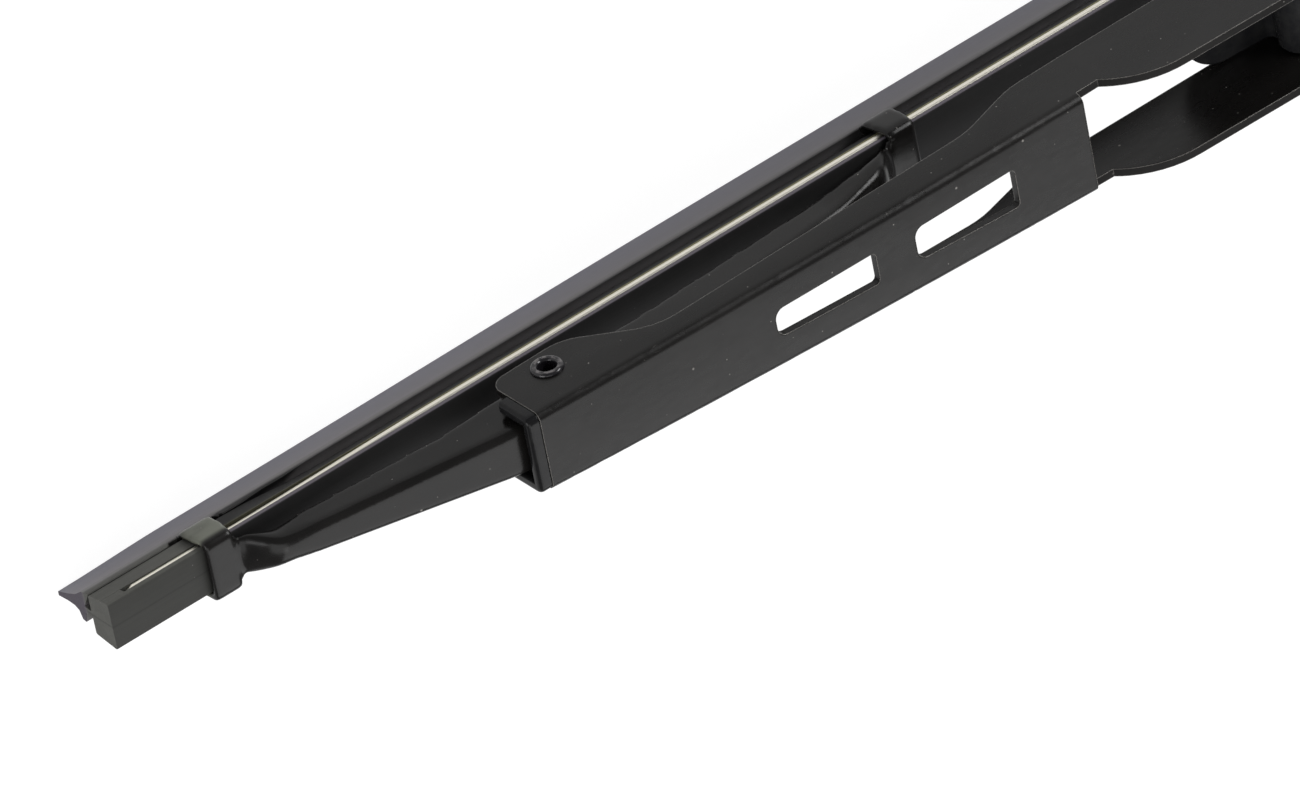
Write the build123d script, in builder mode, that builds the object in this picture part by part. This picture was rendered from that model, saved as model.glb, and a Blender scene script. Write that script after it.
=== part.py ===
"""Framed windscreen wiper blade, 12.5 inch size.

Frame: X runs along the blade, Z points away from the glass and the origin is the centre of the
arm pin that crosses the middle of the bridge. The blade is the same to both sides of X = 0.
A secondary lever is drawn about its own rivet, with +X towards the end of the blade.
"""

import os
from math import sqrt

from build123d import *

# Places along the blade
blade_length = 318.6
rivet_x = 103.0
rivet_z = -6.2
outer_claw_reach = 41.6
inner_claw_reach = 54.9

# Bends of the sheet channels as seen from above
plan_bend_radius = 60.0

# Bridge: a channel folded from steel sheet
bridge_steel = 1.0
bridge_fold_radius = 1.05
bridge_end_x = 109.0
bridge_end_half_width = 5.15
bridge_middle_half_width = 6.6
bridge_crown_z = 3.3
bridge_end_z = -0.1
bridge_waist_z = -2.35
bridge_middle_edge_z = -5.0
bridge_lobe_drop = 2.9
bridge_lobe_inner_x = 98.9
bridge_waist_start_x = 90.6
bridge_waist_end_x = 46.3
bridge_middle_edge_x = 38.0
lobe_corner_radius = 2.0
lobe_run_out_radius = 6.0
waist_start_radius = 8.0
waist_end_radius = 11.0

# Cut-out in the top of the bridge, where the arm's hook goes in
cutout_half_length = 33.7
taper_before_cutout_end = 3.7
cheek_top_z = 6.7
cheek_shoulder_z = 6.3
cheek_shoulder_radius = 11.65
cheek_flat_length = 3.07
cheek_step = 1.1

# Windows in the top of the bridge: inner end, outer end, half width at each
windows = [(44.2, 58.4, 2.5, 2.05), (63.8, 77.8, 2.05, 1.75)]
window_outer_radius = 1.3
window_inner_radius = 0.6

# Secondary levers: narrower channels that rock inside the ends of the bridge
lever_steel = 0.9
lever_fold_radius = 1.0
lever_half_width = 3.2
lever_neck_half_width = 1.7
lever_top = 4.1
lever_edge = -2.4
lever_boss_reach = 7.0
lever_boss_radius = 25.0
lever_neck_top = -2.3
lever_neck_radius = 4.0
lever_neck_before_claw = 5.2
lever_foot_before_claw = 1.5
lever_edge_before_claw = 4.4
lever_inner_corner_shift = 0.54

# Claws at the ends of the levers, folded round the rubber's head
claw_gap_over_head = 0.15
claw_top_half_length = 1.9
claw_foot_half_length = 2.3
claw_half_width = 4.15
claw_foot_half_width = 3.6
claw_fold_radius = 0.95
claw_finger_fold_radius = 1.6
claw_finger_gap = 0.1
claw_finger_thickness = 0.65
claw_finger_reach = 1.0

# Rubber: a head that holds the rails, a thin neck and the wiping lip
head_top_z = -12.8
head_height = 3.8
head_half_width = 3.05
head_foot_half_width = 2.55
head_corner_radius = 0.35
neck_half_width = 0.45
neck_height = 1.25
shoulder_half_width = 2.0
shoulder_thickness = 0.55
lip_height = 4.4
lip_half_width = 0.3
lip_root_half_width = 0.85
lip_root_drop = 1.2

# Rails: two strips of spring steel in the sides of the head
rail_thickness = 1.0
rail_top_drop = 0.55
rail_inner_y = 1.2
rail_outer_y = 3.0
rail_end_gap = 3.4
rail_tip_length = 1.6
rail_tip_inset = 0.55
rail_slot_clearance = 0.04
rail_slot_end_gap = 0.6

# Hollow rivets on which the levers rock
rivet_radius = 1.45
rivet_bore_radius = 0.95
rivet_running_gap = 0.05
rivet_head_radius = 1.95
rivet_head_height = 0.45
rivet_ring_bevel = 0.22

# Plastic liners between bridge and levers
liner_gap = 0.05
liner_thickness = 0.5
liner_inner_reach = 7.0
liner_flange_drop = 2.2
liner_corner_radius = 0.4
bead_length = 1.55
bead_thickness = 1.4
bead_inset = 0.1
bead_leg_drop = 5.5
bead_round = 0.6
bead_corner_radius = 1.0

# Arm pin: a tube riveted across the cheeks of the bridge
arm_pin_radius = 2.95
arm_pin_bore_radius = 2.4
arm_pin_head_radius = 3.7
arm_pin_head_height = 0.5
arm_pin_ring_bevel = 0.25

# Adapter: a plastic clip on the arm pin, over which the arm's hook is pushed
adapter_side_gap = 0.3
adapter_running_gap = 0.05
adapter_wall = 0.6
adapter_nose_reach = 14.3
adapter_tray_thickness = 1.8
adapter_tray_drop = 4.2
adapter_tray_rise = 0.9
adapter_hub_fillet = 0.8

# Sizes that only help with drawing: a length past every side face, how far a cutting shape runs
# over an end, the zone in which an edge counts as lying on the middle plane, and a small slack
far = 60.0
overrun = 1.0
middle_zone = 1.0
slack = 0.01

# Worked out from the sizes above
bridge_straight_x = cutout_half_length - taper_before_cutout_end
bridge_arch_radius = (bridge_end_x**2 + (bridge_crown_z - bridge_end_z) ** 2) / (
    2 * (bridge_crown_z - bridge_end_z)
)
claw_top = head_top_z - rivet_z + claw_gap_over_head + lever_steel
claw_web_foot = claw_top - lever_steel
head_foot_z = head_top_z - head_height
neck_foot_z = head_foot_z - neck_height
lip_tip_z = neck_foot_z - shoulder_thickness - lip_height
rail_top_z = head_top_z - rail_top_drop
rail_bottom_z = rail_top_z - rail_thickness
rail_half_length = blade_length / 2 - rail_end_gap


def arch_z(x, depth=0.0):
    """Height of the bridge's arched top at x, or of a face that lies depth below it."""
    radius = bridge_arch_radius - depth
    return bridge_crown_z - bridge_arch_radius + sqrt(radius**2 - x**2)


def bridge_half_width(x):
    """Outer half width of the bridge at x: straight in the middle, then tapering to the ends."""
    if abs(x) <= bridge_straight_x:
        return bridge_middle_half_width
    taper = (abs(x) - bridge_straight_x) / (bridge_end_x - bridge_straight_x)
    return bridge_middle_half_width - taper * (bridge_middle_half_width - bridge_end_half_width)


def plan(points, inset):
    """Plan about the X axis from (x, half width) points, moved in by inset, with eased bends."""
    upper = [(x, width - inset) for x, width in points]
    with BuildSketch(Plane.XY.offset(-far)) as sketch:
        with BuildLine():
            Line((upper[0][0], 0), upper[0])
            FilletPolyline(*upper, radius=plan_bend_radius)
            Line(upper[-1], (upper[-1][0], 0))
            mirror(about=Plane.XZ)
        make_face()
    return sketch.sketch


bridge_lobe_z = rivet_z - bridge_lobe_drop
cheek_flat_z = arch_z(cutout_half_length) - cheek_step
shoulder_drop = cheek_shoulder_z - cheek_flat_z
shoulder_reach = sqrt(cheek_shoulder_radius**2 - (cheek_shoulder_radius - shoulder_drop) ** 2)
cheek_flat_x = cutout_half_length - cheek_flat_length
cheek_shoulder_x = cheek_flat_x - shoulder_reach
bridge_plan = [
    (-far * 2, bridge_half_width(far * 2)),
    (-bridge_straight_x, bridge_middle_half_width),
    (bridge_straight_x, bridge_middle_half_width),
    (far * 2, bridge_half_width(far * 2)),
]

# Space inside the bridge: between the flanges, under the arched top and up through the cut-out
with BuildPart() as bridge_space:
    with BuildSketch(Plane.XZ) as space_side:
        with BuildLine():
            Polyline(
                (0, -far),
                (far * 2, -far),
                (far * 2, arch_z(far * 2, bridge_steel)),
            )
            ThreePointArc(
                (far * 2, arch_z(far * 2, bridge_steel)),
                (far, arch_z(far, bridge_steel)),
                (cutout_half_length, arch_z(cutout_half_length, bridge_steel)),
            )
            Polyline(
                (cutout_half_length, arch_z(cutout_half_length, bridge_steel)),
                (cutout_half_length, far),
                (0, far),
            )
            mirror(about=Plane.YZ)
        make_face()
    extrude(amount=far, both=True)
    extrude(plan(bridge_plan, bridge_steel), amount=2 * far, mode=Mode.INTERSECT)

with BuildPart() as main_bridge:
    # Side view: arched top, raised cheeks at the middle, a lobe round each rivet
    with BuildSketch(Plane.XZ) as bridge_side:
        with BuildLine():
            Line((0, cheek_top_z), (cheek_shoulder_x, cheek_shoulder_z))
            ThreePointArc(
                (cheek_shoulder_x, cheek_shoulder_z),
                (
                    cheek_shoulder_x + shoulder_reach / 2,
                    cheek_shoulder_z
                    - cheek_shoulder_radius
                    + sqrt(cheek_shoulder_radius**2 - shoulder_reach**2 / 4),
                ),
                (cheek_flat_x, cheek_flat_z),
            )
            Polyline(
                (cheek_flat_x, cheek_flat_z),
                (cutout_half_length, cheek_flat_z),
                (cutout_half_length, arch_z(cutout_half_length)),
            )
            ThreePointArc(
                (cutout_half_length, arch_z(cutout_half_length)),
                (far, arch_z(far)),
                (bridge_end_x, arch_z(bridge_end_x)),
            )
            FilletPolyline(
                (bridge_end_x, arch_z(bridge_end_x)),
                (bridge_end_x, bridge_lobe_z),
                (bridge_lobe_inner_x, bridge_lobe_z),
                (bridge_waist_start_x, bridge_waist_z),
                (bridge_waist_end_x, bridge_waist_z),
                (bridge_middle_edge_x, bridge_middle_edge_z),
                (0, bridge_middle_edge_z),
                radius=[
                    lobe_corner_radius,
                    lobe_run_out_radius,
                    waist_start_radius,
                    waist_end_radius,
                    waist_end_radius,
                ],
            )
            mirror(about=Plane.YZ)
        make_face()
    extrude(amount=far, both=True)
    extrude(plan(bridge_plan, 0), amount=2 * far, mode=Mode.INTERSECT)
    bridge_folds = [
        edge
        for edge in main_bridge.edges()
        if edge.length > far and edge.center().Z > bridge_waist_z + middle_zone
    ]
    fillet(bridge_folds, radius=bridge_fold_radius)
    add(bridge_space.part, mode=Mode.SUBTRACT)

    # Windows in the top
    for side in (-1, 1):
        for inner_x, outer_x, inner_half_width, outer_half_width in windows:
            with BuildSketch(Plane.XY) as window:
                Polygon(
                    (side * inner_x, inner_half_width),
                    (side * outer_x, outer_half_width),
                    (side * outer_x, -outer_half_width),
                    (side * inner_x, -inner_half_width),
                    align=None,
                )
                middle_x = (inner_x + outer_x) / 2
                inner_corners = [c for c in window.vertices() if abs(c.X) < middle_x]
                fillet(inner_corners, radius=window_inner_radius)
                outer_corners = [c for c in window.vertices() if abs(c.X) > outer_x - slack]
                fillet(outer_corners, radius=window_outer_radius)
            extrude(amount=far, mode=Mode.SUBTRACT)

    # Holes for the rivets and for the arm pin
    with BuildSketch(Plane.XZ) as bridge_holes:
        with Locations((-rivet_x, rivet_z), (rivet_x, rivet_z)):
            Circle(rivet_radius)
        Circle(arm_pin_radius)
    extrude(amount=far, both=True, mode=Mode.SUBTRACT)

# Claw: folded round the rubber's head, its two fingers under it
claw_inner_foot = head_foot_z - rivet_z - claw_finger_gap
claw_foot = claw_inner_foot - claw_finger_thickness
with BuildPart() as claw:
    with BuildSketch(Plane.YZ.offset(-claw_foot_half_length)) as claw_section:
        with BuildLine():
            Polyline(
                (0, claw_top),
                (claw_half_width, claw_top),
                (claw_foot_half_width, claw_foot),
                (claw_finger_reach, claw_foot),
                (claw_finger_reach, claw_inner_foot),
                (claw_foot_half_width - lever_steel, claw_inner_foot),
                (claw_half_width - lever_steel, claw_web_foot),
                (0, claw_web_foot),
            )
            mirror(about=Plane.YZ)
        make_face()
        for row, fold_radius in ((-1, claw_fold_radius), (0, claw_finger_fold_radius)):
            corners = claw_section.vertices().group_by(Axis.Y)[row]
            outer_corners = [c for c in corners if abs(c.X) > claw_finger_reach + middle_zone]
            fillet(outer_corners, radius=fold_radius)
    extrude(amount=2 * claw_foot_half_length)
    with BuildSketch(Plane.XZ) as claw_side:
        Polygon(
            (-claw_top_half_length, claw_top),
            (claw_top_half_length, claw_top),
            (claw_foot_half_length, claw_foot),
            (-claw_foot_half_length, claw_foot),
            align=None,
        )
    extrude(amount=far, both=True, mode=Mode.INTERSECT)


def arm_top(inset, shift):
    """Top of the lever's arms in side view, inner claw to outer, moved in by inset.

    The corners over the two necks move along the lever by shift.
    """
    return [
        (lever_foot_before_claw - inner_claw_reach + inset, claw_web_foot),
        (lever_neck_before_claw - inner_claw_reach + shift, lever_neck_top - inset),
        (-lever_boss_reach, lever_top - inset),
        (lever_boss_reach, lever_top - inset),
        (outer_claw_reach - lever_neck_before_claw - shift, lever_neck_top - inset),
        (outer_claw_reach - lever_foot_before_claw - inset, claw_web_foot),
    ]


arm_radii = [lever_neck_radius, lever_boss_radius, lever_boss_radius, lever_neck_radius]
arm_edge = [
    (far, claw_web_foot),
    (outer_claw_reach - claw_top_half_length, claw_web_foot),
    (outer_claw_reach - lever_edge_before_claw, claw_top),
    (2 * lever_boss_reach, lever_edge),
    (-2 * lever_boss_reach, lever_edge),
    (lever_edge_before_claw - inner_claw_reach, claw_top),
    (claw_top_half_length - inner_claw_reach, claw_web_foot),
    (-far, claw_web_foot),
]
lever_plan = [
    (-inner_claw_reach, lever_neck_half_width),
    (lever_neck_before_claw - inner_claw_reach, lever_neck_half_width),
    (-lever_boss_reach, lever_half_width),
    (lever_boss_reach, lever_half_width),
    (outer_claw_reach - lever_neck_before_claw, lever_neck_half_width),
    (outer_claw_reach, lever_neck_half_width),
]

# Space between the lever's flanges, open below
with BuildPart() as lever_space:
    with BuildSketch(Plane.XZ) as lever_space_side:
        top = arm_top(lever_steel, lever_inner_corner_shift)
        with BuildLine():
            FilletPolyline(*top, radius=arm_radii)
            Polyline(top[-1], (top[-1][0], -far), (top[0][0], -far), top[0])
        make_face()
    extrude(amount=far, both=True)
    extrude(plan(lever_plan, lever_steel), amount=2 * far, mode=Mode.INTERSECT)

# Secondary lever, about its rivet
with BuildPart() as lever:
    with BuildSketch(Plane.XZ) as lever_side:
        top = arm_top(0, 0)
        with BuildLine():
            FilletPolyline(*top, radius=arm_radii)
            Polyline(top[-1], (top[-1][0], -far), (top[0][0], -far), top[0])
        make_face()
    extrude(amount=far, both=True)
    extrude(plan(lever_plan, 0), amount=2 * far, mode=Mode.INTERSECT)
    top_faces = [face for face in lever.faces() if face.normal_at().Z > slack]
    lever_folds = [
        edge
        for face in top_faces
        for edge in face.edges()
        if abs(edge.center().Y) > lever_neck_half_width / 2
    ]
    fillet(lever_folds, radius=lever_fold_radius)
    with BuildSketch(Plane.XZ) as lever_edge_side:
        Polygon((-far, far), (far, far), *arm_edge, align=None)
    extrude(amount=far, both=True, mode=Mode.INTERSECT)
    add(lever_space.part, mode=Mode.SUBTRACT)
    with Locations((outer_claw_reach, 0, 0), (-inner_claw_reach, 0, 0)):
        add(claw.part)
    with BuildSketch(Plane.XZ) as lever_hole:
        Circle(rivet_radius + rivet_running_gap)
    extrude(amount=far, both=True, mode=Mode.SUBTRACT)

# Liner: lines the end of the bridge and covers its cut edge with a round bead
liner_inset = bridge_steel + liner_gap
liner_start_x = rivet_x - liner_inner_reach
liner_end_x = bridge_end_x + liner_gap
liner_foot_z = rivet_z - liner_flange_drop
space_start_x = liner_start_x - overrun
space_end_x = bridge_end_x + overrun
with BuildPart() as liner_space:
    with BuildSketch(Plane.XZ) as liner_space_side:
        Polygon(
            (space_start_x, -far),
            (space_end_x, -far),
            (space_end_x, arch_z(space_end_x, liner_inset + liner_thickness)),
            (space_start_x, arch_z(space_start_x, liner_inset + liner_thickness)),
            align=None,
        )
    extrude(amount=far, both=True)
    extrude(plan(bridge_plan, liner_inset + liner_thickness), amount=2 * far, mode=Mode.INTERSECT)

with BuildPart() as pivot_liner:
    with BuildSketch(Plane.XZ) as liner_side:
        Polygon(
            (liner_start_x, liner_foot_z),
            (liner_end_x, liner_foot_z),
            (liner_end_x, arch_z(liner_end_x, liner_inset)),
            (liner_start_x, arch_z(liner_start_x, liner_inset)),
            align=None,
        )
    extrude(amount=far, both=True)
    extrude(plan(bridge_plan, liner_inset), amount=2 * far, mode=Mode.INTERSECT)
    liner_folds = pivot_liner.faces().sort_by(Axis.Z)[-1].edges().filter_by(
        lambda edge: abs(edge.center().Y) > middle_zone
    )
    fillet(liner_folds, radius=liner_corner_radius)
    foot_corners = [
        edge
        for edge in pivot_liner.edges().filter_by(Axis.Y)
        if edge.center().Z < rivet_z
    ]
    fillet(foot_corners, radius=lobe_corner_radius)
    add(liner_space.part, mode=Mode.SUBTRACT)
    with BuildSketch(Plane.YZ.offset(liner_end_x)) as bead_section:
        bead_half_width = bridge_half_width(bridge_end_x) - bead_inset
        bead_top_z = arch_z(bridge_end_x) - bead_inset
        bead_inner = bead_half_width - bead_thickness
        with BuildLine():
            Polyline(
                (0, bead_top_z),
                (bead_half_width, bead_top_z),
                (bead_half_width, bead_top_z - bead_leg_drop),
                (bead_inner, bead_top_z - bead_leg_drop),
                (bead_inner, bead_top_z - bead_thickness),
                (0, bead_top_z - bead_thickness),
            )
            mirror(about=Plane.YZ)
        make_face()
        bead_corners = bead_section.vertices().group_by(Axis.Y)[-1].sort_by(Axis.X)
        fillet([bead_corners[0], bead_corners[-1]], radius=bead_corner_radius)
    extrude(amount=bead_length)
    bead_front = pivot_liner.faces().sort_by(Axis.X)[-1]
    fillet(bead_front.edges(), radius=bead_round)
    with BuildSketch(Plane.XZ) as liner_hole:
        with Locations((rivet_x, rivet_z)):
            Circle(rivet_radius)
    extrude(amount=far, both=True, mode=Mode.SUBTRACT)


def hollow_rivet(radius, bore_radius, head_radius, head_height, ring_bevel, grip):
    """A tube along Y, its two ends rolled over into rings that hold a grip between them."""
    with BuildPart() as rivet:
        with BuildSketch(Plane.XY) as rivet_section:
            Polygon(
                (bore_radius, 0),
                (bore_radius, grip + head_height),
                (head_radius, grip + head_height),
                (head_radius, grip),
                (radius, grip),
                (radius, 0),
                align=None,
            )
            ring_corners = rivet_section.vertices().group_by(Axis.Y)[-1]
            chamfer(ring_corners, length=ring_bevel)
        revolve(axis=Axis.Y)
        mirror(about=Plane.XZ)
    return rivet.part


pivot_rivet = hollow_rivet(
    rivet_radius,
    rivet_bore_radius,
    rivet_head_radius,
    rivet_head_height,
    rivet_ring_bevel,
    bridge_half_width(rivet_x - rivet_head_radius),
)
with BuildPart() as arm_pin:
    add(
        hollow_rivet(
            arm_pin_radius,
            arm_pin_bore_radius,
            arm_pin_head_radius,
            arm_pin_head_height,
            arm_pin_ring_bevel,
            bridge_middle_half_width,
        )
    )

# Adapter: a hub on the arm pin, and under it a tray with round ends
adapter_half_width = bridge_middle_half_width - bridge_steel - adapter_side_gap
adapter_bore_radius = arm_pin_radius + adapter_running_gap
with BuildPart() as hook_adapter:
    with BuildSketch(Plane.XZ) as adapter_side:
        Polygon(
            (-adapter_nose_reach, -adapter_tray_drop),
            (0, adapter_tray_rise - adapter_tray_drop),
            (adapter_nose_reach, -adapter_tray_drop),
            (adapter_nose_reach, -adapter_tray_drop - adapter_tray_thickness),
            (-adapter_nose_reach, -adapter_tray_drop - adapter_tray_thickness),
            align=None,
        )
        Circle(adapter_bore_radius + adapter_wall)
        hub_corners = [
            corner
            for corner in adapter_side.vertices()
            if middle_zone < abs(corner.X) < adapter_bore_radius + adapter_wall
        ]
        fillet(hub_corners, radius=adapter_hub_fillet)
    extrude(amount=far, both=True)
    with BuildSketch(Plane.XY.offset(-far)) as adapter_plan:
        SlotOverall(2 * adapter_nose_reach, 2 * adapter_half_width)
    extrude(amount=2 * far, mode=Mode.INTERSECT)
    with BuildSketch(Plane.XZ) as adapter_bore:
        Circle(adapter_bore_radius)
    extrude(amount=far, both=True, mode=Mode.SUBTRACT)

# Rubber: one extrusion, with a slot for a rail in each side that stops short of its ends
with BuildPart() as rubber:
    with BuildSketch(Plane.YZ.offset(-blade_length / 2)) as rubber_section:
        with BuildLine():
            Polyline(
                (0, head_top_z),
                (head_half_width, head_top_z),
                (head_foot_half_width, head_foot_z),
                (neck_half_width, head_foot_z),
                (neck_half_width, neck_foot_z),
                (shoulder_half_width, neck_foot_z),
                (shoulder_half_width, neck_foot_z - shoulder_thickness),
                (lip_root_half_width, neck_foot_z - shoulder_thickness - lip_root_drop),
                (lip_half_width, lip_tip_z),
                (0, lip_tip_z),
            )
            mirror(about=Plane.YZ)
        make_face()
        head_corners = rubber_section.vertices().group_by(Axis.Y)[-1].sort_by(Axis.X)
        fillet([head_corners[0], head_corners[-1]], radius=head_corner_radius)
    extrude(amount=blade_length)
    slot_height = rail_thickness + 2 * rail_slot_clearance
    slot_length = 2 * (rail_half_length + rail_slot_end_gap)
    rail_middle_z = (rail_top_z + rail_bottom_z) / 2
    slot_bottom_y = rail_inner_y - rail_slot_clearance
    for side in (-1, 1):
        with BuildSketch(Plane.XZ.offset(-side * slot_bottom_y)) as rail_slot:
            with Locations((0, rail_middle_z)):
                SlotOverall(slot_length, slot_height)
        extrude(amount=-side * far, mode=Mode.SUBTRACT)

# Rail: a flat strip with narrowed tips
with BuildPart() as rail:
    with BuildSketch(Plane.XY.offset(rail_bottom_z)) as rail_plan:
        with BuildLine():
            Polyline(
                (0, rail_inner_y),
                (rail_half_length, rail_inner_y),
                (rail_half_length, rail_outer_y - rail_tip_inset),
                (rail_half_length - rail_tip_length, rail_outer_y),
                (0, rail_outer_y),
            )
            mirror(about=Plane.YZ)
        make_face()
    extrude(amount=rail_thickness)

# Place each piece, name it and write it
os.makedirs("parts", exist_ok=True)
to_rivet = Location((rivet_x, 0, rivet_z))
pairs = {
    "lever": to_rivet * lever.part,
    "pivot_liner": pivot_liner.part,
    "pivot_rivet": to_rivet * pivot_rivet,
}
for name, piece in pairs.items():
    for side in ("left", "right"):
        with BuildPart() as placed:
            if side == "right":
                add(piece)
            else:
                mirror(piece, about=Plane.YZ)
        placed.part.label = f"{name}_{side}"
        export_step(placed.part, f"parts/{name}_{side}.step")

for side in ("front", "rear"):
    with BuildPart() as placed_rail:
        if side == "front":
            add(rail.part)
        else:
            mirror(rail.part, about=Plane.XZ)
    placed_rail.part.label = f"rail_{side}"
    export_step(placed_rail.part, f"parts/rail_{side}.step")

main_bridge.part.label = "main_bridge"
export_step(main_bridge.part, "parts/main_bridge.step")
arm_pin.part.label = "arm_pin"
export_step(arm_pin.part, "parts/arm_pin.step")
hook_adapter.part.label = "hook_adapter"
export_step(hook_adapter.part, "parts/hook_adapter.step")
rubber.part.label = "wiper_rubber"
export_step(rubber.part, "parts/wiper_rubber.step")
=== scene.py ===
"""Looks of a framed windscreen wiper blade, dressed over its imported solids.

X runs along the blade, Y along the arm pin and Z away from the glass, with the origin in the
arm pin. Lengths are written in millimetres and turned into metres by MM.
"""

from functools import cached_property
from math import cos, pi, radians, sin

import bmesh
import bpy
from mathutils import Matrix, Vector


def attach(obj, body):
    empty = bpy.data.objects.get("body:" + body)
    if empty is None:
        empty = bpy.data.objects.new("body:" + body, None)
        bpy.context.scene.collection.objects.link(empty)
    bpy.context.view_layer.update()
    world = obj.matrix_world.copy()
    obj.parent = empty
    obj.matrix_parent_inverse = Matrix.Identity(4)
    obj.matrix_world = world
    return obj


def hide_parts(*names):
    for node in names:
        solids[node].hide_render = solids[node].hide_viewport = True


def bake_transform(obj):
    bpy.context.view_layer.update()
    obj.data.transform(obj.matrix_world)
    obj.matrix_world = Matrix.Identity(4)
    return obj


MM = 0.001
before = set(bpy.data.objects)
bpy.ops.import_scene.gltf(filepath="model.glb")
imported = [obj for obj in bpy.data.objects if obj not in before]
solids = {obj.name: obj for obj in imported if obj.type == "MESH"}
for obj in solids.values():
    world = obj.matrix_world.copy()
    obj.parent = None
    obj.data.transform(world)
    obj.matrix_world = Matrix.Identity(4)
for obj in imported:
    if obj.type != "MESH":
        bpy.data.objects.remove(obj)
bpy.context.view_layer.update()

# Distances from the blade's middle, along the blade
rubber_half = 159.3
slot_half = 156.5
rail_half = 155.9
outer_claw = 144.6
rivet = 103.0
inner_claw = 48.1
cutout_half = 33.7

# Half lengths of a claw at its top and at its foot
claw_top_half = 1.9
claw_foot_half = 2.3

# Heights above the arm pin's middle
rivet_height = -6.2
lip_pivot = -17.2
floor_height = -22.95


def eased(value, low, high, at_low=0.0, at_high=1.0):
    """Smooth step between two values as value goes from low to high."""
    share = min(1.0, max(0.0, (value - low) / (high - low)))
    share = share * share * (3 - 2 * share)
    return at_low + (at_high - at_low) * share


# Finishes
class Shade:
    """A number that changes over a surface. Sums on it add Math nodes to its finish."""

    def __init__(self, finish, socket):
        self.finish = finish
        self.socket = socket

    def sum(self, operation, *terms):
        return self.finish.node("ShaderNodeMath", {"operation": operation}, terms)

    def __add__(self, other):
        return self.sum("ADD", self, other)

    __radd__ = __add__

    def __sub__(self, other):
        return self.sum("SUBTRACT", self, other)

    def __rsub__(self, other):
        return self.sum("SUBTRACT", other, self)

    def __mul__(self, other):
        return self.sum("MULTIPLY", self, other)

    __rmul__ = __mul__

    def __truediv__(self, other):
        return self.sum("DIVIDE", self, other)

    def __lt__(self, other):
        return self.sum("LESS_THAN", self, other)

    def size(self):
        return self.sum("ABSOLUTE", self)

    def most(self, other):
        return self.sum("MAXIMUM", self, other)


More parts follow.
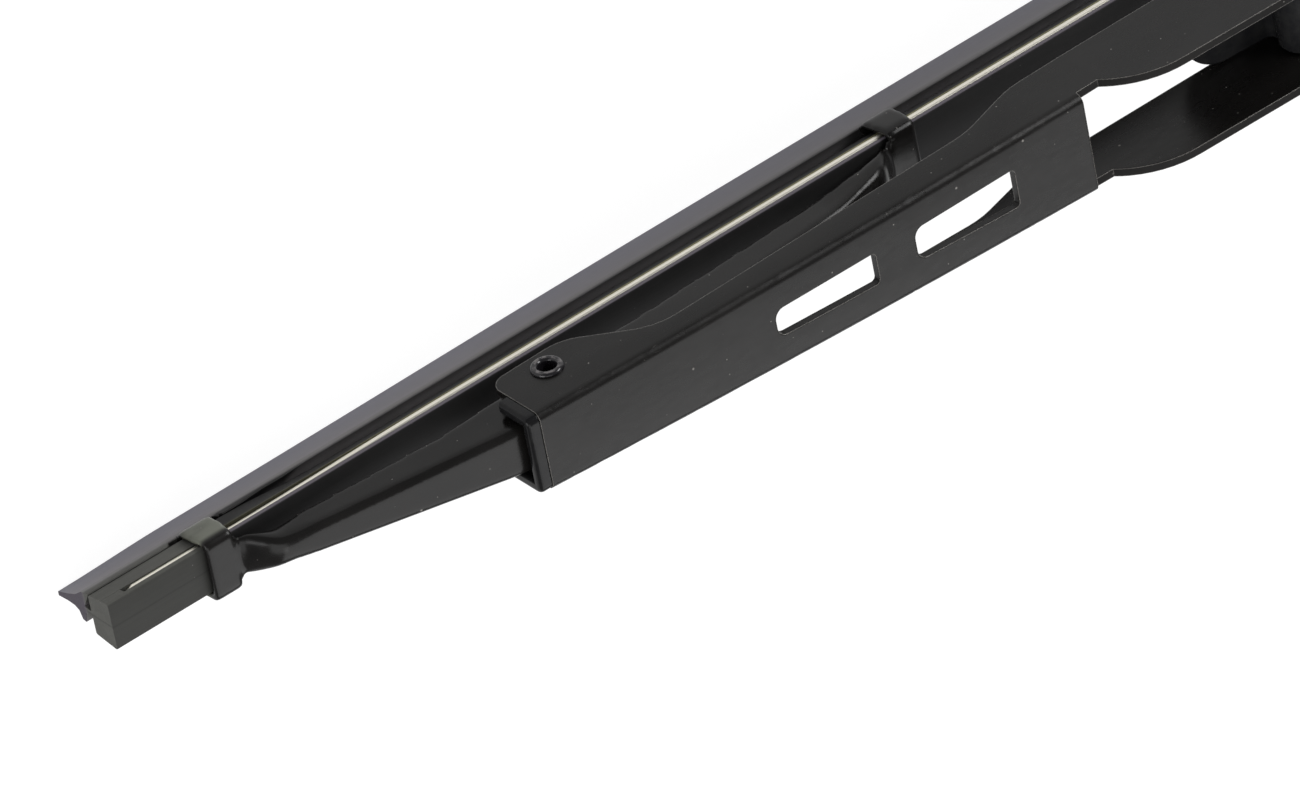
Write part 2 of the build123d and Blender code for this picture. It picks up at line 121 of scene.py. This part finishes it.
class Finish:
    """The node tree of one material or of the sky."""

    def __init__(self, owner):
        self.owner = owner
        owner.use_nodes = True
        self.tree = owner.node_tree
        self.tree.nodes.clear()

    def node(self, kind, settings=None, inputs=(), out=0):
        """Adds a node: its settings first, then its sockets."""
        made = self.tree.nodes.new(kind)
        for name, value in (settings or {}).items():
            setattr(made, name, value)
        pairs = inputs.items() if isinstance(inputs, dict) else enumerate(inputs)
        for name, value in pairs:
            if isinstance(value, Shade):
                self.tree.links.new(value.socket, made.inputs[name])
            elif value is not None:
                made.inputs[name].default_value = value
        if made.outputs:
            return Shade(self, made.outputs[out])

    @cached_property
    def place(self):
        return self.node("ShaderNodeTexCoord", out="Object")

    def axes(self):
        """The place on the piece, as x, y and z in millimetres."""
        scaled = self.node(
            "ShaderNodeVectorMath",
            {"operation": "SCALE"},
            {"Vector": self.place, "Scale": 1 / MM},
        )
        return self.split(scaled)

    def split(self, vector):
        """The three parts of a vector."""
        parts = self.node("ShaderNodeSeparateXYZ", {}, [vector]).socket.node
        return [Shade(self, socket) for socket in parts.outputs]

    def stretched(self, x, y, z):
        """The place with each axis in cells per millimetre."""
        return self.node(
            "ShaderNodeMapping",
            {"vector_type": "POINT"},
            {"Vector": self.place, "Scale": (x / MM, y / MM, z / MM)},
        )

    def noise(self, where, seed, detail=3.0):
        """Noise from 0 to 1, with about one cell in each unit of where."""
        return self.node(
            "ShaderNodeTexNoise",
            {"noise_dimensions": "4D"},
            {"Vector": where, "Scale": 1.0, "Detail": detail, "Roughness": 0.55, "W": seed},
        )

    def span(self, value, low, high, to_low=0.0, to_high=1.0):
        """value moved from low..high to to_low..to_high, held at the ends and eased."""
        return self.node(
            "ShaderNodeMapRange",
            {"interpolation_type": "SMOOTHSTEP", "clamp": True},
            {"Value": value, 1: low, 2: high, 3: to_low, 4: to_high},
        )

    def blend(self, share, one, other):
        """one colour where share is 0, the other where it is 1."""
        return self.node(
            "ShaderNodeMix",
            {"data_type": "RGBA"},
            {0: share, 6: one, 7: other},
            out=2,
        )

    def specks(self, cell, chance, radius, seed):
        """Round specks, some faint and some bright: a chance of one in each cell.

        cell and radius are in millimetres.
        """
        where = self.node(
            "ShaderNodeVectorMath",
            {"operation": "ADD"},
            [self.stretched(1 / cell, 1 / cell, 1 / cell), (seed, seed, seed)],
        )
        cells = self.node(
            "ShaderNodeTexVoronoi", {"feature": "F1"}, {"Vector": where, "Scale": 1.0}
        )
        drawn = Shade(self, cells.socket.node.outputs["Color"])
        tone = self.node("ShaderNodeSeparateColor", {}, [drawn])
        near = self.span(cells, 0.0, radius / cell, 1.0, 0.0)
        strength = tone / chance * 0.7 + 0.3
        return near * (tone < chance) * strength

    def eased_normal(self, reach):
        """The normal with sharp edges eased over reach, for the highlight along them."""
        return self.node("ShaderNodeBevel", {"samples": 6}, {"Radius": reach * MM})

    def edges(self, reach, seed):
        """High at sharp edges, broken up by noise."""
        facing = self.node("ShaderNodeNewGeometry", out="True Normal")
        match = self.node(
            "ShaderNodeVectorMath",
            {"operation": "DOT_PRODUCT"},
            [self.eased_normal(reach), facing],
            out="Value",
        )
        wear_and_sheen = self.noise(self.stretched(0.9, 0.9, 0.9), seed)
        return (1 - match) * self.span(wear_and_sheen, 0.35, 0.65, 0.55, 1.0)

    def bumps(self, height, distance, strength, normal=None):
        """The normal over bumps whose height is given as a share of distance, in millimetres."""
        return self.node(
            "ShaderNodeBump",
            {},
            {"Height": height, "Distance": distance * MM, "Strength": strength, "Normal": normal},
        )

    def close(self, color, roughness, **others):
        """Ends the tree in a Principled shader. others are further sockets by name."""
        sockets = {"Base Color": color, "Roughness": roughness}
        for name, value in others.items():
            sockets[name.replace("_", " ")] = value
        shader = self.node("ShaderNodeBsdfPrincipled", {}, sockets)
        self.node("ShaderNodeOutputMaterial", {}, [shader])
        return self.owner


def material(name):
    """The empty node tree of a new material."""
    return Finish(bpy.data.materials.new(name))


def black_paint(name, seed, gloss=0.24, cut_within=None, claw_sheen_from=None):
    """Satin black paint on sheet steel: a fine grain, dust specks and bright blanked edges, partly
    wear and partly a painted edge highlight.

    Nearer the middle than cut_within, faces that look up are cut edges, where the paint is
    rough. Given a distance along the blade, edges near the claws get neither wear nor edge
    highlight, and past that distance the sides of a claw are painted a pale greenish grey as a
    reflection.
    """
    finish = material(name)
    x, y, z = finish.axes()
    cloud = finish.noise(finish.stretched(0.08, 0.2, 0.2), seed)
    grain = finish.noise(finish.stretched(5.0, 5.0, 5.0), seed + 1, detail=2.0)
    scuff = finish.noise(finish.stretched(0.5, 1.5, 1.5), seed + 2, detail=4.0)
    fine_dust = finish.specks(cell=1.25, chance=0.35, radius=0.13, seed=seed)
    large_dust = finish.specks(cell=3.1, chance=0.35, radius=0.22, seed=seed + 3)
    dust = fine_dust.most(large_dust)
    wear_and_sheen = finish.span(finish.edges(0.2, seed + 4), 0.02, 0.12)
    tone = finish.span(cloud, 0.3, 0.7)
    base = finish.blend(tone, (0.0056, 0.0051, 0.0048, 1), (0.0090, 0.0083, 0.0077, 1))
    if claw_sheen_from:
        for claw in (outer_claw, inner_claw):
            wear_and_sheen = wear_and_sheen * finish.span((x.size() - claw).size(), 4.0, 7.0)
        at_end = finish.span(x.size(), claw_sheen_from, claw_sheen_from + 1.2)
        at_side = finish.span(y.size(), 3.0, 3.7)
        below_top = finish.span(z, -13.2, -12.4, 1.0, 0.0)
        # Painted reflection: the sides of the outer claws are painted a pale greenish grey
        painted_claw_sheen = at_end * at_side * below_top * finish.span(cloud, 0.2, 0.6)
        base = finish.blend(painted_claw_sheen, base, (0.125, 0.130, 0.105, 1))
    # Lighter blanked edges: partly wear, partly a painted highlight along the edges
    base = finish.blend(wear_and_sheen * 0.75, base, (0.30, 0.285, 0.265, 1))
    base = finish.blend(dust * 0.85, base, (0.42, 0.40, 0.37, 1))
    roughness = gloss + finish.span(scuff, 0.35, 0.75) * 0.06 + cloud * 0.06 + dust * 0.3
    if cut_within:
        up = finish.split(finish.node("ShaderNodeNewGeometry", out="True Normal"))[2]
        cut = finish.span(up, 0.3, 0.6) * (x.size() < cut_within)
        roughness = roughness + cut * 0.45
    height = grain * 0.6 + scuff * 0.4
    normal = finish.bumps(height, distance=0.01, strength=0.35, normal=finish.eased_normal(0.3))
    return finish.close(base, roughness, Normal=normal, Specular_IOR_Level=0.23)


def moulded_plastic(name, seed, paleness):
    """Black moulded plastic, a little glossier than the paint."""
    finish = material(name)
    ripple = finish.noise(finish.stretched(0.6, 0.9, 0.9), seed)
    dust = finish.specks(cell=2.3, chance=0.15, radius=0.08, seed=seed)
    wear_and_sheen = finish.span(finish.edges(0.12, seed + 4), 0.1, 0.5)
    low, high = 0.8 * paleness, 1.2 * paleness
    tone = finish.span(ripple, 0.3, 0.7)
    base = finish.blend(tone, (low, low, low * 1.1, 1), (high, high, high, 1))
    # Lighter edges: partly wear, partly a painted highlight along the edges
    base = finish.blend(wear_and_sheen * 0.15, base, (0.2, 0.2, 0.19, 1))
    base = finish.blend(dust * 0.7, base, (0.35, 0.34, 0.32, 1))
    roughness = 0.12 + ripple * 0.08
    normal = finish.bumps(ripple, distance=0.05, strength=0.6, normal=finish.eased_normal(0.15))
    return finish.close(base, roughness, Normal=normal, Specular_IOR_Level=0.16)


def blackened_steel(name, seed, ring_y):
    """Blackened steel, its rolled rings bright with wear in spots where y passes ring_y."""
    finish = material(name)
    y = finish.axes()[1]
    patch = finish.noise(finish.stretched(1.6, 1.6, 1.6), seed, detail=4.0)
    pitted = finish.noise(finish.stretched(3.5, 3.5, 3.5), seed + 1)
    high = finish.span(y.size(), ring_y - 0.12, ring_y - 0.02)
    bright = high * finish.span(patch, 0.45, 0.6)
    base = finish.blend(bright, (0.011, 0.010, 0.012, 1), (0.16, 0.15, 0.15, 1))
    roughness = 0.13 + patch * 0.10
    normal = finish.bumps(patch * 0.6 + pitted * 0.4, distance=0.05, strength=0.5)
    return finish.close(base, roughness, Metallic=bright * 0.7 + 0.15, Normal=normal)


def matte_rubber(name, seed):
    """Matte rubber: grey at its bare ends, painted nearly black between the outer claws as shade
    from the levers and the bridge, and bloomed pale on its lip, partly as a painted grazing sheen.

    Between the outer claws the head's rounded corner above its rails is painted a lighter
    purple-grey as light falling on it, and an olive reflection of the rails is painted below them.
    At the ends the head's top is painted darker as shade. The head has a seam on its top.
    Heights along z are those of rubber_section.
    """
    finish = material(name)
    x, y, z = finish.axes()
    streak = finish.noise(finish.stretched(0.03, 4.0, 4.0), seed)
    patch = finish.noise(finish.stretched(0.25, 0.5, 0.5), seed + 1, detail=4.0)
    grain = finish.noise(finish.stretched(6.0, 9.0, 9.0), seed + 2, detail=2.0)
    lip = finish.span(z, -17.9, -17.3, 1.0, 0.0)
    lip_end = lip * finish.span(x.size(), rubber_half - 0.08, rubber_half - 0.02)
    bare = finish.span(x.size(), outer_claw - 1.1, outer_claw + 1.4)
    upper = finish.span(z, -12.96, -12.83)
    rim = finish.span(z, -13.3, -13.2) * (1 - upper)
    under = finish.span(z, -15.05, -14.4) * finish.span(z, -14.3, -14.2, 1.0, 0.0)
    under = under * finish.span(x.size(), 105.0, 135.0, 1.0, 0.4)
    seam = finish.span((y + patch * 0.2 - 0.1).size(), 0.05, 0.2, 1.0, 0.0)
    dust = finish.specks(cell=1.4, chance=0.35, radius=0.1, seed=seed)
    tone = finish.span(streak * 0.4 + patch * 0.6, 0.3, 0.7)
    # Painted shade: between the outer claws the rubber is painted nearly black, as shade from the
    # levers and the bridge above it
    black = finish.blend(tone, (0.0050, 0.0048, 0.0048, 1), (0.0085, 0.0080, 0.0078, 1))
    # Painted light: the head's rounded corner above the rails is painted a lighter purple-grey
    # than the shaded top
    black = finish.blend(rim * 0.85, black, (0.120, 0.106, 0.124, 1))
    # Painted reflection: the rubber just below the rails is painted olive like the rails' lower
    # edge
    black = finish.blend(under * under, black, (0.230, 0.220, 0.120, 1))
    grey = finish.blend(tone, (0.055, 0.055, 0.049, 1), (0.078, 0.078, 0.070, 1))
    # Painted shade: at the bare ends the head's top is painted darker than its sides
    grey = finish.blend(upper * 0.68, grey, (0.012, 0.012, 0.011, 1))
    grey = finish.blend(seam * 0.35, grey, (0.010, 0.010, 0.009, 1))
    # The lip's pale bloom, partly a painted grazing sheen, bluer towards the tip
    edge_on = finish.span(z, -22.6, -19.0)
    bloom_and_sheen = finish.blend(edge_on, (0.200, 0.196, 0.226, 1), (0.178, 0.166, 0.177, 1))
    bloom_and_sheen = finish.blend(finish.span(z, -19.6, -18.2), bloom_and_sheen, (0.150, 0.141, 0.138, 1))
    bloom_and_sheen = finish.blend(tone * 0.35, bloom_and_sheen, (0.250, 0.242, 0.260, 1))
    # The lip is darker towards the blade's middle
    darker_to_middle = finish.span(x.size(), 40.0, 125.0, 0.45, 0.14)
    bloom_and_sheen = finish.blend(darker_to_middle, bloom_and_sheen, (0.045, 0.045, 0.047, 1))
    base = finish.blend(lip, finish.blend(bare, black, grey), bloom_and_sheen)
    base = finish.blend(lip_end, base, (0.050, 0.042, 0.056, 1))
    base = finish.blend(dust * 0.6, base, (0.30, 0.29, 0.29, 1))
    roughness = 0.55 + patch * 0.15 - lip * 0.1
    height = streak * 0.3 + patch * 0.3 + grain * 0.4
    normal = finish.bumps(height, distance=0.05, strength=0.5)
    return finish.close(base, roughness, Normal=normal, Specular_IOR_Level=0.3)


def spring_steel(name, seed):
    """Bright spring steel, drawn lengthwise, with a warm tint, a painted olive reflection on its
    lower edge and painted shade on its upper rolled edge.
    """
    finish = material(name)
    z = finish.axes()[2]
    drawn = finish.noise(finish.stretched(0.02, 14.0, 14.0), seed)
    stain = finish.noise(finish.stretched(0.06, 0.8, 0.8), seed + 1)
    tone = finish.span(drawn, 0.3, 0.7)
    base = finish.blend(tone, (0.83, 0.79, 0.68, 1), (0.92, 0.89, 0.80, 1))
    base = finish.blend(finish.span(stain, 0.55, 0.75) * 0.3, base, (0.42, 0.38, 0.26, 1))
    # Painted reflection: the lower edge is painted olive, the dark part of the rail's reflection
    base = finish.blend(finish.span(z, -14.36, -14.1, 1.0, 0.0), base, (0.30, 0.27, 0.13, 1))
    # Painted shade: the upper rolled edge is darkened, dimming its highlight
    base = finish.blend(finish.span(z, -13.75, -13.5) * 0.85, base, (0.16, 0.153, 0.135, 1))
    roughness = 0.42 + drawn * 0.1
    normal = finish.bumps(drawn, distance=0.01, strength=0.5)
    return finish.close(base, roughness, Metallic=1.0, Normal=normal)


# Pieces
def show(name, bm, finish, smooth_angle=35.0):
    """Makes an object from the bmesh, smooth but for edges sharper than smooth_angle."""
    bmesh.ops.remove_doubles(bm, verts=bm.verts, dist=1e-6)
    bmesh.ops.recalc_face_normals(bm, faces=bm.faces)
    for face in bm.faces:
        face.smooth = True
    for edge in bm.edges:
        edge.smooth = edge.calc_face_angle(pi) < radians(smooth_angle)
    mesh = bpy.data.meshes.new(name)
    bm.to_mesh(mesh)
    bm.free()
    mesh.materials.append(finish)
    made = bpy.data.objects.new(name, mesh)
    bpy.context.scene.collection.objects.link(made)
    return made


def merged(mesh):
    """A bmesh copy of a mesh, its doubled corners merged."""
    bm = bmesh.new()
    bm.from_mesh(mesh)
    bmesh.ops.remove_doubles(bm, verts=bm.verts, dist=1e-6)
    return bm


def carried(piece, body, node):
    """Lets a piece ride on a body and stand for a node."""
    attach(piece, body)
    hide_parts(node)


def dressed(node, finish, body):
    """A smooth-shaded copy of a solid that stands for it."""
    carried(show(node + "_skin", merged(solids[node].data), finish), body, node)


def remeshed(name, mesh, cell):
    """A bmesh of even cells, cell millimetres wide, over a merged copy of a mesh."""
    bm = merged(mesh)
    rough = bpy.data.objects.new(name, bpy.data.meshes.new(name))
    bm.to_mesh(rough.data)
    bm.free()
    bpy.context.scene.collection.objects.link(rough)
    remesh = rough.modifiers.new("remesh", "REMESH")
    remesh.mode = "VOXEL"
    remesh.voxel_size = cell * MM
    evaluated = rough.evaluated_get(bpy.context.evaluated_depsgraph_get())
    fine = bpy.data.meshes.new_from_object(evaluated)
    bpy.data.meshes.remove(rough.data)
    bm = merged(fine)
    bpy.data.meshes.remove(fine)
    return bm


def smoothed(bm, verts, passes):
    """Moves each corner halfway to the middle of its neighbours, once in each pass."""
    for _ in range(passes):
        bmesh.ops.smooth_vert(
            bm, verts=verts, factor=0.5, use_axis_x=True, use_axis_y=True, use_axis_z=True
        )


def claw_reach(vert):
    """How far along the blade a corner of a lever is from the middle of the nearest claw."""
    far = abs(vert.co.x) / MM
    return min(abs(far - outer_claw), abs(far - inner_claw))


def widening(vert, reach):
    """How much wider a neck is drawn reach millimetres from the middle of its claw."""
    beside_neck = abs(vert.co.y) > 2.2 * MM
    if reach < claw_top_half - 0.2 or (beside_neck and reach < claw_foot_half + 0.15):
        return 1.0
    neck_end = 14.0 if abs(vert.co.x) < rivet * MM else 7.0
    return eased(reach, claw_top_half, neck_end, 1.85, 1.0)


def drawn_lever(node, finish, body):
    """A lever remeshed finely, its necks widened and smoothed where they run into the claws."""
    bm = remeshed(node + "_rough", solids[node].data, cell=0.24)
    reaches = [(vert, claw_reach(vert)) for vert in bm.verts]
    for vert, reach in reaches:
        vert.co.y *= widening(vert, reach)
    smoothed(bm, bm.verts, 3)
    smoothed(bm, [vert for vert, reach in reaches if reach < 7.5], 9)
    for limit in (9.5, 8.5, 7.5):
        smoothed(bm, [vert for vert, reach in reaches if 2.2 < reach < limit], 7)
    carried(show(node + "_skin", bm, finish, smooth_angle=70.0), body, node)


def ring_edges(bm, ring):
    """The edges round a closed ring of corners, made where they are missing."""
    pairs = zip(ring, ring[1:] + ring[:1])
    return [bm.edges.get(pair) or bm.edges.new(pair) for pair in pairs]


def draw_on(bm, ring, x, corners):
    """Extrudes a ring once and moves the new one to the corners at x."""
    grown = set(bmesh.ops.extrude_edge_only(bm, edges=ring_edges(bm, ring))["geom"])
    ahead = []
    for behind in ring:
        linked = [edge.other_vert(behind) for edge in behind.link_edges]
        ahead.append(next(vert for vert in linked if vert in grown))
    for corner, (y, z) in zip(ahead, corners):
        corner.co = (x * MM, y * MM, z * MM)
    return ahead


def drawn_strip(name, stations, section, finish):
    """A strip along X whose section may change: section(x) gives its corners at x."""
    bm = bmesh.new()
    first = stations[0]
    ring = [bm.verts.new((first * MM, y * MM, z * MM)) for y, z in section(first)]
    bm.faces.new(ring)
    for x in stations[1:]:
        ring = draw_on(bm, ring, x, section(x))
    bm.faces.new(ring)
    return show(name, bm, finish)


# Rubber, whose lip leans to +Y along the blade
def lean(x, y, z):
    """Where a corner of the lip goes when the neck bends and the lip leans to +Y."""
    drop = lip_pivot - z
    if drop <= 0:
        return y, z
    far = abs(x)
    at_root = 9.0
    lip_reach = 5.6
    if far > outer_claw:
        at_tip = eased(far, outer_claw, rubber_half, 3.0, -1.0)
    else:
        at_tip = eased(far, 75.0, outer_claw, 9.0, 3.0)
    angle = radians(at_root + (at_tip - at_root) * drop / lip_reach)
    return (
        drop * sin(angle) + y * cos(angle),
        lip_pivot - drop * cos(angle) + y * sin(angle),
    )


def shoulder_rise(far):
    """How far the lip's shoulder lies up against the head: by the blade's end, not by the claw."""
    free = eased(abs(far - outer_claw), 3.0, 3.9)
    return 1.22 * eased(far, 128.0, 140.0) * free


def rubber_section(x):
    """The rubber's section at x: head with a slot in each side, thin neck, shoulder and lip."""
    far = abs(x)
    rise = shoulder_rise(far)
    foot = eased(far, 128.0, 141.0, 1.75, 2.55)
    depth = eased(far, slot_half - 0.1, slot_half + 0.1, 1.7, 0.02)
    squeeze = eased(far, outer_claw - 2.0, outer_claw + 2.0, 0.0, 0.12)
    upper, lower = -13.31 - squeeze, -14.39 + squeeze
    side = [
        (2.70, -12.80),
        (2.94, -12.89),
        (3.04, -13.12),
        (3.02, upper),
        (3.02 - depth, upper),
        (2.90 - depth, lower),
        (2.90, lower),
        (foot + 0.05, -16.45),
        (foot - 0.12, -16.60),
        (0.45, -16.60),
        (0.45, -17.15),
        (0.50, -17.85),
    ]
    near_lip = [
        (2.20 + 0.3 * rise, -17.85 + rise),
        (2.28 + 0.35 * rise, -17.95 + rise),
        (2.22, -18.35),
        (1.25, -19.45),
        (0.62, -21.0),
        (0.36, -22.2),
        (0.30, -22.78),
    ]
    far_lip = [
        (0.24, -22.80),
        (0.30, -22.2),
        (0.34, -21.0),
        (0.46, -19.8),
        (0.80, -19.05),
        (1.80, -18.55),
        (1.86, -17.95),
        (1.80, -17.85),
    ]
    corners = side + near_lip + [(-y, z) for y, z in far_lip]
    corners += [(-y, z) for y, z in reversed(side)]
    return [lean(x, y, z) for y, z in corners]


# Rails
def rail_section(hand):
    """The rail's section: flat, with its outer edge rolled round. hand is 1 or -1 in Y."""

    def section(x):
        far = abs(x)
        recess = eased(far, 112.0, 142.0, 0.0, 0.34)
        recess -= eased(far, outer_claw - 1.5, outer_claw + 1.5, 0.0, 0.14)
        tip = eased(far, rail_half - 0.7, rail_half, 0.0, 0.3)
        outer = 3.06 - recess - tip
        corners = [
            (1.2, -14.35),
            (outer - 0.42, -14.35),
            (outer - 0.22, -14.29),
            (outer - 0.07, -14.13),
            (outer, -13.85),
            (outer - 0.07, -13.57),
            (outer - 0.22, -13.41),
            (outer - 0.42, -13.35),
            (1.2, -13.35),
        ]
        return [(hand * y, z) for y, z in corners]

    return section


def followed(strip, node):
    """Bakes a strip's place into its mesh and lets it stand for a node."""
    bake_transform(strip)
    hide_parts(node)


def stations_to(end, extra):
    """Places along X from the middle outwards, one each 3 mm, and the extra ones."""
    pitch = 3.0
    even = {pitch * step for step in range(int(end / pitch) + 1)}
    return sorted(even | set(extra) | {end})


# Rivets and arm pin
def turned_tube(name, x, z, profile, finish):
    """A profile of (radius, y) corners turned about an axis along Y through (x, z)."""
    bm = bmesh.new()
    ring = [bm.verts.new(((x + radius) * MM, y * MM, z * MM)) for radius, y in profile]
    bmesh.ops.spin(
        bm,
        geom=ring + ring_edges(bm, ring),
        cent=(x * MM, 0, z * MM),
        axis=(0, 1, 0),
        angle=2 * pi,
        steps=72,
        use_merge=True,
    )
    return show(name, bm, finish, smooth_angle=40.0)


def rolled_ends(bore, shank, ring, grip, height):
    """Profile of a tube whose two ends are rolled over into round rings past the grip."""
    inner = bore + 0.1
    middle = (inner + ring) / 2
    half = (ring - inner) / 2
    turns = [pi * step / 8 for step in range(9)]
    top = [(bore, grip - 0.6)]
    for turn in turns[::-1]:
        top.append((middle + half * cos(turn), grip + 0.04 + (height - 0.04) * sin(turn)))
    top += [(ring, grip + 0.01), (shank, grip + 0.01)]
    return top + [(radius, -y) for radius, y in reversed(top)]


# The blade
paint = black_paint("black_paint", 1.0, cut_within=cutout_half + 0.05)
lever_paint = black_paint("lever_paint", 5.0, gloss=0.16, claw_sheen_from=outer_claw - 3.1)
plastic = moulded_plastic("moulded_plastic", 11.0, paleness=0.008)
adapter_plastic = moulded_plastic("adapter_plastic", 15.0, paleness=0.022)
rivet_finish = blackened_steel("rivet_steel", 21.0, ring_y=5.74)
pin_finish = blackened_steel("pin_steel", 27.0, ring_y=7.1)
rubber_finish = matte_rubber("wiper_rubber", 31.0)
rail_finish = spring_steel("rail_steel", 41.0)

dressed("main_bridge", paint, "main_bridge")
for side in ("left", "right"):
    drawn_lever("lever_" + side, lever_paint, "lever_" + side)
    dressed("pivot_liner_" + side, plastic, "main_bridge")
dressed("hook_adapter", adapter_plastic, "hook_adapter")

rivet_profile = rolled_ends(bore=0.95, shank=1.43, ring=1.93, grip=5.26, height=0.47)
for side, sign in (("left", -1), ("right", 1)):
    name = "pivot_rivet_" + side
    tube = turned_tube(name + "_turned", sign * rivet, rivet_height, rivet_profile, rivet_finish)
    carried(tube, "main_bridge", name)

pin_profile = rolled_ends(bore=2.4, shank=2.93, ring=3.66, grip=6.6, height=0.49)
pin = turned_tube("arm_pin_turned", 0, 0, pin_profile, pin_finish)
carried(pin, "main_bridge", "arm_pin")

# Strips, with more stations where their sections change
by_slot_end = [slot_half + step for step in (-0.1, 0.0, 0.1)]
by_claw = [outer_claw + step for step in (-3.9, -3.45, -3.0, -2.0, 2.0, 3.0, 3.45, 3.9)]
rubber_places = stations_to(rubber_half, by_slot_end + by_claw)
by_rail_tip = [rail_half - 0.7, rail_half - 0.3]
by_claw = [outer_claw + step for step in (-1.5, 0.0, 1.5)]
rail_places = stations_to(rail_half, by_rail_tip + by_claw)
for side, sign in (("left", -1), ("right", 1)):
    places = [sign * place for place in rubber_places]
    strip = drawn_strip("rubber_" + side, places, rubber_section, rubber_finish)
    followed(strip, "wiper_rubber")
    places = [sign * place for place in rail_places]
    for rail, hand in (("rail_front", 1), ("rail_rear", -1)):
        strip = drawn_strip(rail + "_" + side, places, rail_section(hand), rail_finish)
        followed(strip, rail)

# Floor: glows white for the camera and pale grey in reflections, and keeps a faint shadow
ground = material("floor")
seen = ground.node("ShaderNodeLightPath", out="Is Camera Ray")
mirrored = ground.node("ShaderNodeLightPath", out="Is Glossy Ray")
mirrored = mirrored.most(ground.node("ShaderNodeLightPath", out="Is Transmission Ray"))
pale = ground.blend(seen.most(mirrored), (0.85, 0.85, 0.85, 1), (0.2, 0.2, 0.2, 1))
glow = ground.blend(mirrored, (0, 0, 0, 1), (0.6, 0.6, 0.6, 1))
glow = ground.blend(seen, glow, (0.87, 0.87, 0.87, 1))
ground_finish = ground.close(pale, 0.9, Emission_Color=glow, Emission_Strength=1.0)
bm = bmesh.new()
bmesh.ops.create_grid(bm, x_segments=1, y_segments=1, size=3.0)
bmesh.ops.translate(bm, verts=bm.verts, vec=(0, 0, floor_height * MM))
show("floor", bm, ground_finish)

# Sky: dim, even studio light
sky = Finish(bpy.data.worlds.new("sky"))
pale_grey = (0.27, 0.272, 0.28, 1)
background = sky.node("ShaderNodeBackground", {}, {"Color": pale_grey, "Strength": 1.0})
sky.node("ShaderNodeOutputWorld", {}, [background])
bpy.context.scene.world = sky.owner


def lamp(name, direction, distance, size, radiance, length=None):
    """A lamp, distance metres from the blade along direction and turned to it.

    It is a square of size, or longer across the blade where a length is given.
    """
    light = bpy.data.lights.new(name, "AREA")
    light.shape = "RECTANGLE"
    light.size = size
    light.size_y = length or size
    light.energy = radiance * pi * light.size * light.size_y
    made = bpy.data.objects.new(name, light)
    away = Vector(direction).normalized()
    along = (Vector((1, 0, 0)) - away * away.x).normalized()
    turned = Matrix((along, away.cross(along), away)).transposed().to_4x4()
    made.matrix_world = Matrix.Translation(away * distance) @ turned
    bpy.context.scene.collection.objects.link(made)


lamp("soft_box_behind", (0.08, -0.65, 0.755), distance=1.4, size=1.25, radiance=2.1)
lamp("fill_at_left", (-0.55, -0.2, 0.8), distance=1.5, size=1.1, radiance=1.7)
front, right = (0.506, 0.664, 0.548), (0.68, 0.57, 0.455)
lamp("strip_in_front", front, distance=0.656, size=0.17, radiance=8.0, length=0.42)
lamp("strip_at_right", right, distance=1.4, size=0.34, radiance=5.0, length=0.9)
lamp("box_at_left", (-0.96, 0.1, 0.29), distance=1.2, size=0.6, radiance=3.6)

# Camera: the photograph's long lens, looking down along the blade from its left end
lens = bpy.data.cameras.new("camera")
lens.sensor_width = 36
lens.lens = 415.385
lens.clip_start = 0.05
lens.clip_end = 20
camera = bpy.data.objects.new("camera", lens)
to_right = Vector((0.77040769, -0.16342163, 0.61625106))
to_top = Vector((0.46657548, 0.80324299, -0.37028099))
to_camera = Vector((-0.43448742, 0.57279496, 0.6950731))
turn = Matrix((to_right, to_top, to_camera)).transposed().to_4x4()
camera.matrix_world = Matrix.Translation((-0.80441781, 0.93448487, 1.13524524)) @ turn
bpy.context.scene.collection.objects.link(camera)
bpy.context.scene.camera = camera
bpy.context.scene.view_settings.view_transform = "Standard"
